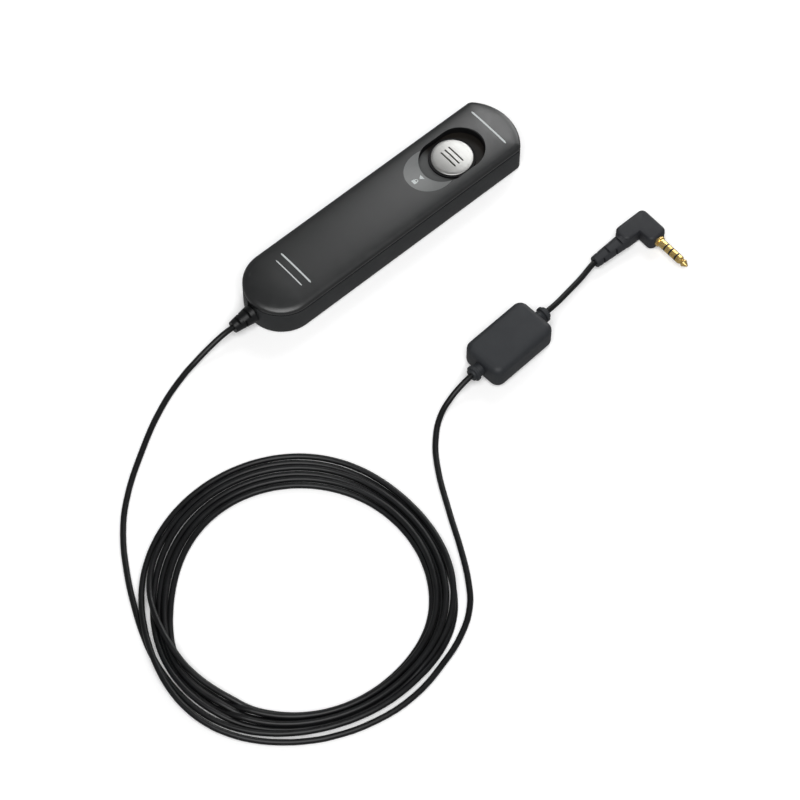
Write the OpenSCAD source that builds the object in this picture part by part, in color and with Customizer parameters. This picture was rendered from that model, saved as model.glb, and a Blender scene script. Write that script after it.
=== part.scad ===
// Wired remote shutter release: a slim two-part handle with a press-and-slide button,
// a thin cord wound in a loose flat coil, a moulded ferrite block and a right-angle 2.5 mm plug.
// The handle lies on its flat back: +X points to its button end, +Z is up, and the origin is
// the middle of its footprint.

/* [Handle] */
// Length of the handle
handle_l = 97; // [94:0.5:100]
// Width of the handle
handle_w = 22; // [21.5:0.25:24]
// Height of the handle at the middle of its crown
handle_h = 11.4; // [11.2:0.1:12]
// Height of the seam between the two shells
seam_z = 8.8; // [8.7:0.05:8.9]
// How far the rounded nose stands beyond its corners
nose_rise = 4.75; // [4.5:0.25:6]
// Thickness of the side walls
wall = 1.3; // [1.1:0.1:1.4]

/* [Button] */
// Distance of the button's axis from the middle of the handle
button_x = 27.1; // [26.6:0.1:27.4]
// Radius of the silver cap
cap_r = 6.3; // [6:0.1:6.3]
// Height of the cap's top at rest
cap_top_z = 9.9; // [9.8:0.05:10]
// Full press of the button
press_travel = 1.2; // [0.9:0.1:1.2]
// Slide of the button towards the cord, into its lock
lock_travel = 3.5; // [2.5:0.25:3.5]

/* [Cord] */
// Diameter of the cord
cord_d = 1.7; // [1.4:0.1:1.7]
// Mean radius of the coil
coil_r = 38.6; // [38:0.2:39]
// Width of the band of turns
coil_band = 11.6; // [10:0.2:12]
// Height of the stacked turns
coil_h = 4.4; // [3.4:0.1:5]

/* [Ferrite] */
// Length of the moulded block
ferrite_l = 23; // [22:0.5:24]
// Width of the moulded block
ferrite_w = 14; // [13:0.25:15]
// Height of the moulded block
ferrite_h = 8.4; // [8:0.2:8.8]

/* [Plug] */
// Diameter of the plug's pin
pin_d = 2.5; // [2.5]
// Length of the pin beyond its collar
pin_l = 11; // [10.5:0.25:11.5]

/* [Hidden] */

$fn = 64;
hull_fn = 32;
eps = 0.01;

// Handle plan: a half round at the cord end, straight sides and an arched nose
half_l = handle_l / 2;
half_w = handle_w / 2;
tail_x = -half_l + half_w;
nose_r = (half_w * half_w + nose_rise * nose_rise) / (2 * nose_rise);
nose_x = half_l - nose_r;
floor_z = 1.2;
base_round = 0.8;
groove_h = 0.6;
groove_d = 0.6;

// Ceilings inside the top shell: low over the slider, higher over the plain part
slide_ceiling_z = seam_z - 0.05;
grip_ceiling_z = 9.7;
grip_ceiling_end = 3;

// Stack under the button, from the slider down to the board
clearance = 0.15;
fit_clearance = 0.08;
slider_top_z = slide_ceiling_z - clearance;
slider_t = 0.7;
slider_base_z = slider_top_z - slider_t;
slider_half_w = 8.6;
slider_left = 11.5;
slider_right = 14.3;
cup_wall = 0.9;
cup_floor_t = 0.5;
ring_r = cap_r + 0.55;
cup_r = ring_r + fit_clearance;
cup_out_r = cup_r + cup_wall;
ring_top_z = cap_top_z - 0.55;
cap_seat_z = cap_top_z - 1;
ring_base_z = 7.75;
cup_floor_z = ring_base_z - press_travel - 0.05;
cup_base_z = cup_floor_z - cup_floor_t;
pocket_r = 3.3;
pocket_top_z = 8.4;
stem_r = 1.3;
stem_tip_r = 1;
foot_top_z = cup_base_z - 0.1;
foot_h = 1;
foot_z = foot_top_z - foot_h;
foot_half_l = 2.6;
foot_half_w = 1.6;
spring_r = 2.6;
spring_wire_r = 0.15;
spring_turns = 3;

// Opening over the button and the thumb scoop beside it
opening_r = 7.35;
opening_left_x = button_x - lock_travel - ring_r - 0.2 + opening_r;
opening_right_x = button_x + 2.9;
scoop_x = opening_left_x - 5.2;
scoop_r = 8.1;
scoop_depth = 1.1;
scoop_sphere_r = (scoop_r * scoop_r + scoop_depth * scoop_depth) / (2 * scoop_depth);

// Guide plate and its screws
guide_top_z = slider_base_z - clearance;
guide_t = 0.7;
guide_base_z = guide_top_z - guide_t;
guide_left_x = 8;
guide_spots = [[10, 6.5], [10, -6.5], [43.8, 4.5], [43.8, -4.5]];
guide_boss_r = 1.5;
guide_screw_r = 0.6;
guide_head_r = 1.2;
guide_screw_top_z = 9.9;

// Housing screws, driven in from the back
screw_spots = [-30, -14];
screw_r = 1;
screw_head_r = 1.9;
screw_recess_z = 2.4;
screw_head_z = 0.7;
screw_top_z = 10.2;
screw_boss_r = 2.8;
screw_split_z = 6;

// Board, leaves and contacts
board_z = 1.6;
board_t = 0.7;
board_top_z = board_z + board_t;
board_x = [-9, 32];
board_half_w = 7.4;
pin_spots = [[-6, 5.8], [-6, -5.8], [29.5, 5.8], [29.5, -5.8]];
locating_pin_r = 0.85;
leaf_t = 0.2;
leaf_w = 4;
leaf_root_x = 10.3;
upper_leaf_end_x = 27.9;
middle_leaf_end_x = 28.6;
upper_leaf_z = 4.2;
middle_leaf_z = 3.4;
bump_x = button_x - lock_travel / 2;
bump_r = 0.6;
contact_x = 27.5;
block_x = [4, 10];
block_half_w = 3.2;
block_h = 3;
resistor_x = -3.6;
joint_x = -7;
wire_r = 0.3;
wire_rows = [-3.9, -1.3, 1.3, 3.9];

// Cord axis where it leaves the handle
exit_z = 4.4;
cord_r = cord_d / 2;
boot_end_x = -55.5;
jacket_end_x = -37;
clamp_x = -41;
neck_r = 2;
neck_slot_l = 3.3;
flange_gap = 1.9;
flange_r = 3;
flange_t = 1.2;

// Cord routes, chosen by hand: handle to coil, coil to ferrite, ferrite to plug
lay_z = cord_r;
coil_x = -96;
coil_y = -75;
lead_route = [
    [-55.5, 0, 4.4], [-59, 0, 4.3], [-64, 0, 3], [-69, -0.2, 1.45], [-75, -1.3, lay_z],
    [-86, -5.3, lay_z], [-99, -12.6, lay_z], [-112, -21.9, lay_z], [-119, -29.2, lay_z],
    [-125.5, -38.8, lay_z], [-130.8, -48.8, lay_z]
];
tail_route = [
    [-80, -116, lay_z], [-70, -112.6, lay_z], [-63, -108, lay_z], [-58.5, -102.5, lay_z], [-53.5, -94, lay_z],
    [-48, -83, lay_z], [-40.5, -69.5, lay_z], [-35.5, -63.3, lay_z], [-29.5, -58.6, 1],
    [-24, -56.7, 2], [-19.5, -56.2, 3.5], [-15.8, -56, 4.2]
];
plug_lead_route = [
    [14.2, -54.4, 4.2], [18, -54.1, 3.9], [24, -53, 3.1], [30, -51.9, 2.6], [36.5, -50.6, 2.8]
];
ring_pitch = 4;
wire_pitch = 2.2;

// Ferrite block
ferrite_x = -0.8;
ferrite_y = -55.2;
ferrite_turn = 3;
ferrite_round = 2.8;
ferrite_edge = 2;
core_l = 17;
core_r = 3.2;
nib_l = 3.5;
nib_r = 2;
nib_collar_r = 2.4;

// Right-angle plug: a leg along X carries the ribbed relief, a head along Y carries the pin
plug_z = 2.8;
leg_y = -49.8;
leg_w = 5.4;
relief_y = -50.6;
head_x = 55.4;
head_w = 6.2;
head_y = [-57.4, -47.1];
block_y = [-55, -48.6];
inner_block_w = 4;
inner_block_h = 3.2;
plug_h = 5.4;
plug_edge = 1;
relief_x = [36.5, 48];
relief_r = [1.75, 2.4];
pin_base_y = -58;
pin_r = pin_d / 2;
insulator_r = 0.7;
// Where each part of the pin begins and ends, measured from its collar
sleeve_end = 2.3;
gap_w = 0.55;
rear_ring_end = 4.3;
front_ring_end = 6.6;

// Crown of the top shell: height above the seam and inset of each level of its edge
edge_inset = 0.05;
crown = [[1.1, edge_inset], [1.6, 0.4], [1.95, 1.2], [2.25, 3], [2.45, 5.5]];
crown_inset = 9;
// Lips that locate the shells on each other
lip_gap = 0.15;
lip_t = 0.7;
lip_depth = 1.2;
// Bosses and bar that hold the cord
clamp_l = 4;
saddle_half_w = 5;
bar_half_w = 4.8;
bar_h = 1.3;
clamp_screw_y = 3.3;
clamp_screw_z = 2;

// ---------- shared shapes ----------

// Plan of the handle, drawn in by the given inset
module plan(inset = 0) {
    translate([tail_x, 0]) circle(r = half_w - inset);
    translate([tail_x, -half_w + inset]) square([nose_x - tail_x, handle_w - 2 * inset]);
    intersection() {
        translate([nose_x, 0]) circle(r = nose_r - inset);
        translate([nose_x - eps, -half_w + inset]) square([nose_r, handle_w - 2 * inset]);
    }
}

// Convex body through slices of the plan, each given as [height, inset]
module slices(levels) {
    hull() for (level = levels)
        translate([0, 0, level[0]]) linear_extrude(eps) plan(level[1], $fn = hull_fn);
}

module slot_2d(x0, x1, r) {
    translate([x0, 0]) circle(r = r);
    translate([x1, 0]) circle(r = r);
    translate([x0, -r]) square([x1 - x0, 2 * r]);
}

module along_x(x) { translate([x, 0, 0]) rotate([0, 90, 0]) children(); }

// Block with upright corners of the given radius and smaller rounds along its top and bottom edges
module round_block(l, w, h, r, edge) {
    hull() for (sx = [-1, 1], sy = [-1, 1], a = [0:30:90])
        translate([sx * (l / 2 - r), sy * (w / 2 - r), 0])
            cylinder(r = r - edge * (1 - cos(a)), h = h - 2 * edge * (1 - sin(a)), center = true, $fn = hull_fn);
}

// Points on a smooth curve through a route, about one ring pitch apart
function catmull(a, b, c, d, t) =
    0.5 * (2 * b + (c - a) * t + (2 * a - 5 * b + 4 * c - d) * t * t + (3 * b - a - 3 * c + d) * t * t * t);
function curve(p, pitch) = let (n = len(p) - 1) concat(
    [for (i = [0:n - 1]) let (steps = max(1, round(norm(p[i + 1] - p[i]) / pitch))) for (k = [0:steps - 1])
        catmull(p[max(i - 1, 0)], p[i], p[i + 1], p[min(i + 2, n)], k / steps)],
    [p[n]]);
function unit(v) = v / norm(v);
function heading(p, i) = unit(p[min(i + 1, len(p) - 1)] - p[max(i - 1, 0)]);

// Tube of the given radius and number of sides along a list of points
module sweep(p, r, sides) {
    n = len(p);
    points = [for (i = [0:n - 1])
        let (t = heading(p, i), side = unit(cross(t, [0, 0, 1])), up = cross(side, t))
        for (k = [0:sides - 1]) p[i] + r * (sin(k * 360 / sides) * side - cos(k * 360 / sides) * up)];
    walls = [for (i = [0:n - 2], k = [0:sides - 1]) let (next = (k + 1) % sides)
        [i * sides + k, (i + 1) * sides + k, (i + 1) * sides + next, i * sides + next]];
    ends = [[for (k = [0:sides - 1]) k], [for (k = [0:sides - 1]) (n - 1) * sides + sides - 1 - k]];
    polyhedron(points = points, faces = concat(walls, ends));
}

module tube(route, r) { sweep(curve(route, ring_pitch), r, 8); }

// Screw with its head downwards: shank up to top_z, head of the given size below head_top_z
module screw_up(r, head_r, head_z, head_top_z, top_z) {
    slot = 0.35;
    difference() {
        union() {
            translate([0, 0, head_z]) cylinder(r = head_r, h = head_top_z - head_z);
            translate([0, 0, head_z]) cylinder(r = r, h = top_z - head_z);
        }
        for (turn = [0, 90])
            rotate([0, 0, turn]) translate([-head_r * 0.6, -slot / 2, head_z - eps])
                cube([head_r * 1.2, slot, slot]);
    }
}

// ---------- handle ----------

module top_shell() {
    boss_r = 2.2;
    joined = 0.2;
    color([0.22, 0.23, 0.24]) difference() {
        union() {
            difference() {
                slices([[seam_z, groove_d], [seam_z + groove_h / 2, groove_d]]);
                grip_hollow();
            }
            difference() {
                slices(concat(
                    [[seam_z + groove_h / 2, 0]],
                    [for (level = crown) [seam_z + level[0], level[1]]],
                    [[handle_h - eps, crown_inset]]
                ));
                grip_hollow();
            }
            for (spot = guide_spots)
                translate([spot[0], spot[1], guide_top_z])
                    cylinder(r = guide_boss_r, h = slide_ceiling_z - guide_top_z + joined);
            for (x = screw_spots)
                translate([x, 0, screw_split_z]) cylinder(r = boss_r, h = grip_ceiling_z - screw_split_z + joined);
            locating_lips();
            boot_tab();
        }
        opening();
        thumb_scoop();
        for (spot = guide_spots)
            translate([spot[0], spot[1], guide_top_z - eps])
                cylinder(r = guide_screw_r, h = guide_screw_top_z - guide_top_z + eps);
        for (x = screw_spots)
            translate([x, 0, screw_split_z - eps]) cylinder(r = screw_r, h = screw_top_z - screw_split_z + eps);
    }
}

// Hollow under the plain part of the top shell
module grip_hollow() {
    translate([0, 0, seam_z - 1]) linear_extrude(grip_ceiling_z - seam_z + 1) intersection() {
        plan(wall + lip_gap);
        translate([-half_l, -half_w]) square([half_l + grip_ceiling_end, handle_w]);
    }
}

module opening() {
    translate([0, 0, slide_ceiling_z - 1]) linear_extrude(handle_h)
        slot_2d(opening_left_x, opening_right_x, opening_r);
}

module thumb_scoop() {
    translate([scoop_x, 0, handle_h - scoop_depth + scoop_sphere_r]) sphere(r = scoop_sphere_r, $fn = 128);
}

// Lips inside the side walls of the cord half, which locate the two shells
module locating_lips() {
    translate([0, 0, seam_z - lip_depth]) linear_extrude(grip_ceiling_z - seam_z + lip_depth + eps) intersection() {
        difference() {
            plan(wall + lip_gap);
            plan(wall + lip_gap + lip_t);
        }
        translate([tail_x + 1, -half_w]) square([grip_ceiling_end - tail_x - 1, handle_w]);
    }
}

// Tab that closes the slot above the strain relief
module boot_tab() {
    side_gap = 0.05;
    difference() {
        translate([0, 0, exit_z]) linear_extrude(seam_z - exit_z + groove_h) intersection() {
            difference() {
                plan(groove_d);
                plan(wall);
            }
            translate([-half_l, -neck_r + side_gap]) square([half_w / 2, 2 * (neck_r - side_gap)]);
        }
        translate([0, 0, exit_z]) along_x(-half_l - 1) cylinder(r = neck_r + side_gap, h = half_w);
    }
}

module bottom_shell() {
    post_r = 1.6;
    post_rise = 0.6;
    slide_fit = 0.15;
    color([0.2, 0.21, 0.22]) difference() {
        union() {
            difference() {
                union() {
                    slices([
                        [0, base_round], [base_round * 0.13, base_round * 0.5],
                        [base_round * 0.5, base_round * 0.13], [base_round, 0], [seam_z - groove_h / 2 - eps, 0]
                    ]);
                    translate([0, 0, seam_z - groove_h]) linear_extrude(groove_h) plan(groove_d);
                }
                translate([0, 0, floor_z]) linear_extrude(seam_z) plan(wall);
            }
            for (x = screw_spots)
                translate([x, 0, floor_z - eps]) cylinder(r = screw_boss_r, h = screw_split_z - floor_z + eps);
            for (spot = pin_spots) translate([spot[0], spot[1], floor_z - eps]) {
                cylinder(r = post_r, h = board_z - floor_z + eps);
                cylinder(r = locating_pin_r, h = board_top_z + post_rise - floor_z);
            }
            translate([clamp_x - clamp_l / 2, -saddle_half_w, floor_z - eps])
                cube([clamp_l, 2 * saddle_half_w, exit_z - floor_z + eps]);
        }
        // slot that takes the neck of the strain relief
        translate([0, 0, exit_z]) along_x(-half_l - 1) cylinder(r = neck_r, h = neck_slot_l);
        translate([-half_l - 1, -neck_r, exit_z]) cube([neck_slot_l, 2 * neck_r, seam_z]);
        // groove for the cord and holes for the clamp's screws
        translate([0, 0, exit_z]) along_x(clamp_x - clamp_l) cylinder(r = cord_r, h = 2 * clamp_l);
        for (side = [-1, 1])
            translate([clamp_x, side * clamp_screw_y, clamp_screw_z]) cylinder(r = guide_screw_r, h = exit_z);
        // stepped holes for the housing screws
        for (x = screw_spots) translate([x, 0, 0]) {
            translate([0, 0, -eps]) cylinder(r = screw_head_r + slide_fit, h = screw_recess_z + eps);
            cylinder(r = screw_r + slide_fit, h = seam_z);
        }
    }
}

module guide_plate() {
    travel_gap = 0.2;
    color([0.12, 0.12, 0.13]) translate([0, 0, guide_base_z]) linear_extrude(guide_t) difference() {
        intersection() {
            plan(wall + clearance);
            translate([guide_left_x, -half_w]) square([half_l, handle_w]);
        }
        slot_2d(button_x - lock_travel - travel_gap, button_x + travel_gap, cup_out_r + clearance);
        for (spot = guide_spots) translate(spot) circle(r = guide_screw_r + 0.05);
    }
}

module guide_screws() {
    color([0.6, 0.6, 0.62]) for (spot = guide_spots)
        translate([spot[0], spot[1], 0])
            screw_up(guide_screw_r, guide_head_r, guide_base_z - guide_t, guide_base_z, guide_screw_top_z);
}

module housing_screws() {
    color([0.3, 0.3, 0.31]) for (x = screw_spots)
        translate([x, 0, 0]) screw_up(screw_r, screw_head_r, screw_head_z, screw_recess_z, screw_top_z);
}

// ---------- button and lock slider ----------

module button_cap() {
    edge = 0.35;
    line_l = 6.8;
    line_w = 0.4;
    line_pitch = 1.75;
    color([0.78, 0.78, 0.77]) translate([button_x, 0, 0]) difference() {
        translate([0, 0, cap_seat_z]) rotate_extrude() {
            square([cap_r, cap_top_z - cap_seat_z - edge]);
            square([cap_r - edge, cap_top_z - cap_seat_z]);
            translate([cap_r - edge, cap_top_z - cap_seat_z - edge]) intersection() {
                circle(r = edge);
                square(edge);
            }
        }
        for (k = [-1, 0, 1])
            translate([k * line_pitch - line_w / 2, -line_l / 2, cap_top_z - 0.2]) cube([line_w, line_l, 1]);
    }
}

module button_plunger() {
    color([0.05, 0.05, 0.055]) translate([button_x, 0, 0]) {
        difference() {
            translate([0, 0, ring_base_z]) cylinder(r = ring_r, h = ring_top_z - ring_base_z);
            translate([0, 0, cap_seat_z]) cylinder(r = cap_r, h = 2);
            translate([0, 0, ring_base_z - eps]) cylinder(r = pocket_r, h = pocket_top_z - ring_base_z + eps);
        }
        translate([0, 0, foot_top_z]) cylinder(r = stem_r, h = cap_seat_z - foot_top_z);
        translate([0, 0, foot_z]) cylinder(r = stem_tip_r, h = foot_h + eps);
    }
}

module plunger_foot() {
    color([0.85, 0.85, 0.82]) translate([button_x, 0, foot_z]) difference() {
        translate([-foot_half_l, -foot_half_w, 0]) cube([2 * foot_half_l, 2 * foot_half_w, foot_h]);
        translate([0, 0, -eps]) cylinder(r = stem_tip_r, h = foot_h + 2 * eps);
    }
}

module return_spring() {
    low = cup_floor_z + spring_wire_r;
    rise = pocket_top_z - spring_wire_r - low;
    steps = 16;
    turns = spring_turns;
    color([0.75, 0.75, 0.77]) translate([button_x, 0, 0]) sweep(
        [for (i = [0:steps * turns]) let (a = i * 360 / steps)
            [spring_r * cos(a), spring_r * sin(a), low + rise * i / (steps * turns)]],
        spring_wire_r, 6);
}

module lock_slider() {
    corner = 2;
    color([0.16, 0.15, 0.14]) difference() {
        union() {
            translate([0, 0, slider_base_z]) linear_extrude(slider_t)
                hull() for (x = [button_x - slider_left + corner, button_x + slider_right - corner], side = [-1, 1])
                    translate([x, side * (slider_half_w - corner)]) circle(r = corner, $fn = hull_fn);
            translate([button_x, 0, cup_base_z]) cylinder(r = cup_out_r, h = slider_base_z - cup_base_z + eps);
        }
        translate([button_x, 0, cup_floor_z]) cylinder(r = cup_r, h = handle_h);
        translate([button_x, 0, 0]) cylinder(r = stem_r + fit_clearance, h = handle_h);
    }
}

// ---------- contacts and board ----------

// Blade with a round tip and a rounded root, which lies on its bending line
module leaf(x1, z) {
    tip_r = leaf_w / 2;
    translate([0, 0, z]) linear_extrude(leaf_t) {
        translate([leaf_root_x, -leaf_w / 2]) square([x1 - tip_r - leaf_root_x, leaf_w]);
        translate([x1 - tip_r, 0]) circle(r = tip_r);
    }
    translate([leaf_root_x, 0, z + leaf_t / 2]) rotate([90, 0, 0])
        cylinder(r = leaf_t / 2, h = leaf_w, center = true);
}

module upper_leaf() {
    color([0.8, 0.6, 0.35]) {
        leaf(upper_leaf_end_x, upper_leaf_z);
        translate([bump_x, 0, upper_leaf_z]) intersection() {
            rotate([90, 0, 0]) cylinder(r = bump_r, h = leaf_w, center = true);
            translate([-bump_r, -leaf_w, 0]) cube([2 * bump_r, 2 * leaf_w, bump_r]);
        }
    }
}

module middle_leaf() { color([0.8, 0.6, 0.35]) leaf(middle_leaf_end_x, middle_leaf_z); }

module leaf_terminals() {
    tails = [[block_x[0] - 1.4, upper_leaf_z], [block_x[0] - 0.6, middle_leaf_z]];
    color([0.8, 0.6, 0.35]) for (tail = tails) {
        translate([tail[0], -leaf_w / 2, tail[1]]) cube([block_x[1] - tail[0], leaf_w, leaf_t]);
        translate([tail[0], -leaf_w / 2, board_top_z]) cube([leaf_t, leaf_w, tail[1] - board_top_z + leaf_t]);
    }
}

module lower_contact() {
    strip_l = 5.5;
    strip_t = 0.15;
    rivet_r = 0.9;
    color([0.8, 0.6, 0.35]) translate([contact_x, 0, board_top_z]) {
        translate([-strip_l / 2, -leaf_w / 2, 0]) cube([strip_l, leaf_w, strip_t]);
        cylinder(r = rivet_r, h = 2 * strip_t);
    }
}

module contact_block() {
    color([0.86, 0.84, 0.76]) difference() {
        translate([block_x[0], -block_half_w, board_top_z])
            cube([block_x[1] - block_x[0], 2 * block_half_w, block_h]);
        for (z = [upper_leaf_z, middle_leaf_z])
            translate([block_x[0] - 1, -leaf_w / 2, z]) cube([block_x[1] - block_x[0] + 2, leaf_w, leaf_t]);
    }
}

module circuit_board() {
    color([0.1, 0.35, 0.2]) translate([0, 0, board_z]) difference() {
        translate([board_x[0], -board_half_w, 0]) cube([board_x[1] - board_x[0], 2 * board_half_w, board_t]);
        for (spot = pin_spots)
            translate([spot[0], spot[1], -eps]) cylinder(r = locating_pin_r + 0.05, h = board_t + 2 * eps);
    }
}

module resistors() {
    size = [2.4, 1.3, 0.5];
    color([0.08, 0.08, 0.09]) for (y = wire_rows)
        translate([resistor_x, y - size[1] / 2, board_top_z]) cube(size);
}

module solder_joints() {
    joint_r = 0.75;
    color([0.72, 0.73, 0.75]) for (y = wire_rows)
        translate([joint_x, y, board_top_z]) intersection() {
            sphere(r = joint_r);
            translate([-1, -1, 0]) cube(2);
        }
}

// Each wire leaves the jacket's end, passes beside the screw bosses and ends at its joint
module wire(row, start, lane) {
    sweep(curve([
        [jacket_end_x, start[0], exit_z + start[1]], [-35.5, start[0] * 1.6, exit_z + start[1] * 1.4],
        [-33, lane * 0.85, 4 + start[1]], [-29, lane, 3.2], [-22, lane, 2.6], [-14, lane, 2.6],
        [-10.5, (lane + row) / 2, 2.9], [joint_x - 0.3, row, 2.75]
    ], wire_pitch), wire_r, 6);
}

module wire_red() { color([0.7, 0.1, 0.1]) wire(wire_rows[3], [0.34, 0.34], 4.6); }
module wire_white() { color([0.9, 0.9, 0.88]) wire(wire_rows[2], [0.34, -0.34], 3.7); }
module wire_yellow() { color([0.85, 0.7, 0.15]) wire(wire_rows[1], [-0.34, -0.34], -3.7); }
module wire_ground() { color([0.65, 0.4, 0.25]) wire(wire_rows[0], [-0.34, 0.34], -4.6); }

// ---------- cord where it enters the handle ----------

module cord_clamp() {
    color([0.75, 0.75, 0.77]) difference() {
        translate([clamp_x - clamp_l / 2, -bar_half_w, exit_z]) cube([clamp_l, 2 * bar_half_w, bar_h]);
        translate([0, 0, exit_z]) along_x(clamp_x - clamp_l) cylinder(r = cord_r, h = 2 * clamp_l);
        for (side = [-1, 1])
            translate([clamp_x, side * clamp_screw_y, 0]) cylinder(r = guide_screw_r + 0.05, h = handle_h);
    }
}

module clamp_screws() {
    base_z = clamp_screw_z + 0.2;
    top_z = exit_z + bar_h;
    head_h = 0.7;
    color([0.6, 0.6, 0.62]) for (side = [-1, 1]) translate([clamp_x, side * clamp_screw_y, 0]) {
        translate([0, 0, base_z]) cylinder(r = guide_screw_r, h = top_z - base_z);
        translate([0, 0, top_z]) cylinder(r = guide_head_r, h = head_h);
    }
}

module strain_relief() {
    collar_x = -half_l - 0.1;
    flange_x = -half_l + flange_gap;
    boot_l = collar_x - boot_end_x;
    notch_w = 0.7;
    color([0.08, 0.08, 0.085]) translate([0, 0, exit_z]) along_x(0) difference() {
        rotate_extrude() polygon([
            [cord_r, boot_end_x], [1.8, boot_end_x], [2.8, collar_x], [neck_r, collar_x],
            [neck_r, flange_x], [flange_r, flange_x], [flange_r, flange_x + flange_t],
            [cord_r, flange_x + flange_t]
        ]);
        for (k = [1, 2, 3]) for (side = [0, 1])
            rotate([0, 0, side * 180 + (k % 2) * 90])
                translate([-3.4, 1.15 + k * 0.2, boot_end_x + k * boot_l / 4 - notch_w / 2]) cube([6.8, 3, notch_w]);
    }
}

module cord_stub() {
    color([0.05, 0.05, 0.055]) translate([0, 0, exit_z]) along_x(boot_end_x)
        cylinder(r = cord_r, h = jacket_end_x - boot_end_x);
}

// ---------- cord ----------

module cord_lead() { color([0.05, 0.05, 0.055]) tube(lead_route, cord_r); }

module cord_coil() {
    corner = 0.6;
    inner = coil_r - coil_band / 2;
    color([0.05, 0.05, 0.055]) translate([coil_x, coil_y, 0]) rotate_extrude($fn = 96) polygon([
        [inner, corner], [inner + corner, 0], [inner + coil_band - corner, 0], [inner + coil_band, corner],
        [inner + coil_band, coil_h - corner], [inner + coil_band - corner, coil_h],
        [inner + corner, coil_h], [inner, coil_h - corner]
    ]);
}

module cord_tail() { color([0.05, 0.05, 0.055]) tube(tail_route, cord_r); }
module cord_plug_lead() { color([0.05, 0.05, 0.055]) tube(plug_lead_route, cord_r); }

// ---------- ferrite block ----------

module at_ferrite() {
    translate([ferrite_x, ferrite_y, ferrite_h / 2]) rotate([0, 0, ferrite_turn]) children();
}

module cord_in_ferrite() {
    half = ferrite_l / 2 + nib_l;
    color([0.05, 0.05, 0.055]) at_ferrite() along_x(-half) cylinder(r = cord_r, h = 2 * half);
}

module ferrite_core() {
    color([0.25, 0.25, 0.27]) at_ferrite() along_x(-core_l / 2) difference() {
        cylinder(r = core_r, h = core_l);
        translate([0, 0, -eps]) cylinder(r = cord_r, h = core_l + 2 * eps);
    }
}

module ferrite_cover() {
    color([0.2, 0.21, 0.23]) at_ferrite() difference() {
        union() {
            round_block(ferrite_l, ferrite_w, ferrite_h, ferrite_round, ferrite_edge);
            for (end = [0, 1]) rotate([0, 0, 180 * end]) {
                along_x(ferrite_l / 2 - 1) cylinder(r = nib_r, h = nib_l + 1);
                along_x(ferrite_l / 2 + nib_l - 1.6) cylinder(r = nib_collar_r, h = 1);
            }
        }
        along_x(-core_l / 2) cylinder(r = core_r, h = core_l);
        along_x(-ferrite_l) cylinder(r = cord_r, h = 2 * ferrite_l);
    }
}

// ---------- plug ----------

module plug_overmould() {
    leg_l = head_x + head_w / 2 - relief_x[1] + 1;
    ribs = 5;
    rib_l = (relief_x[1] - relief_x[0]) / ribs;
    notch = 0.6;
    relief_core_r = 1.15;
    notch_step = 0.1;
    color([0.2, 0.21, 0.22]) difference() {
        union() {
            translate([relief_x[1] - 1 + leg_l / 2, leg_y, plug_z])
                round_block(leg_l, leg_w, plug_h, 1.8, plug_edge);
            translate([head_x, (head_y[0] + head_y[1]) / 2, plug_z])
                round_block(head_w, head_y[1] - head_y[0], plug_h, 1.7, plug_edge);
            translate([0, relief_y, plug_z]) along_x(relief_x[0])
                cylinder(r1 = relief_r[0], r2 = relief_r[1], h = relief_x[1] - relief_x[0]);
        }
        // notches across the relief, alternately from the sides and from above and below
        for (k = [1:ribs - 1], side = [0, 1])
            translate([relief_x[0] + k * rib_l - notch / 2, relief_y, plug_z])
                rotate([side * 180 + (k % 2) * 90, 0, 0])
                    translate([0, -relief_r[1], relief_core_r + notch_step * k])
                        cube([notch, 2 * relief_r[1], relief_r[1]]);
        translate([0, relief_y, plug_z]) along_x(relief_x[0] - 1)
            cylinder(r = cord_r, h = head_x - relief_x[0] - 2);
        inner_block_shape();
        translate([head_x, head_y[0] - 1, plug_z]) rotate([-90, 0, 0])
            cylinder(r = pin_r, h = block_y[0] - head_y[0] + 1 + eps);
    }
}

module inner_block_shape() {
    translate([head_x - inner_block_w / 2, block_y[0], plug_z - inner_block_h / 2])
        cube([inner_block_w, block_y[1] - block_y[0], inner_block_h]);
}

module plug_inner_block() {
    color([0.85, 0.84, 0.8]) difference() {
        inner_block_shape();
        pin_part(insulator_r, -6, -3);
    }
}

// Cylinder on the pin's axis, between two distances from the collar
module pin_part(r, from, to) {
    translate([head_x, pin_base_y - from, plug_z]) rotate([90, 0, 0]) cylinder(r = r, h = to - from);
}

module pin_tube(from, to) {
    difference() {
        pin_part(pin_r, from, to);
        pin_part(insulator_r, from - 1, to + 1);
    }
}

module plug_insulator() {
    color([0.06, 0.06, 0.06]) {
        pin_part(insulator_r, -6, front_ring_end + gap_w);
        for (end = [sleeve_end, rear_ring_end, front_ring_end]) pin_part(pin_r, end, end + gap_w);
    }
}

module plug_sleeve() {
    collar = 0.6;
    color([0.85, 0.68, 0.3]) {
        pin_tube(-3, sleeve_end);
        difference() {
            pin_part(1.7, -collar, 0);
            pin_part(insulator_r, -1, 1);
        }
    }
}

module plug_ring_rear() { color([0.85, 0.68, 0.3]) pin_tube(sleeve_end + gap_w, rear_ring_end); }
module plug_ring_front() { color([0.85, 0.68, 0.3]) pin_tube(rear_ring_end + gap_w, front_ring_end); }

module plug_tip() {
    start = front_ring_end + gap_w;
    color([0.85, 0.68, 0.3]) translate([head_x, pin_base_y, plug_z]) rotate([90, 0, 0])
        rotate_extrude() polygon([
            [0, start], [pin_r, start], [pin_r, start + 1.1], [0.85, start + 1.6],
            [1.15, start + 2.3], [1.15, start + 2.5], [0.3, pin_l], [0, pin_l]
        ]);
}

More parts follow.
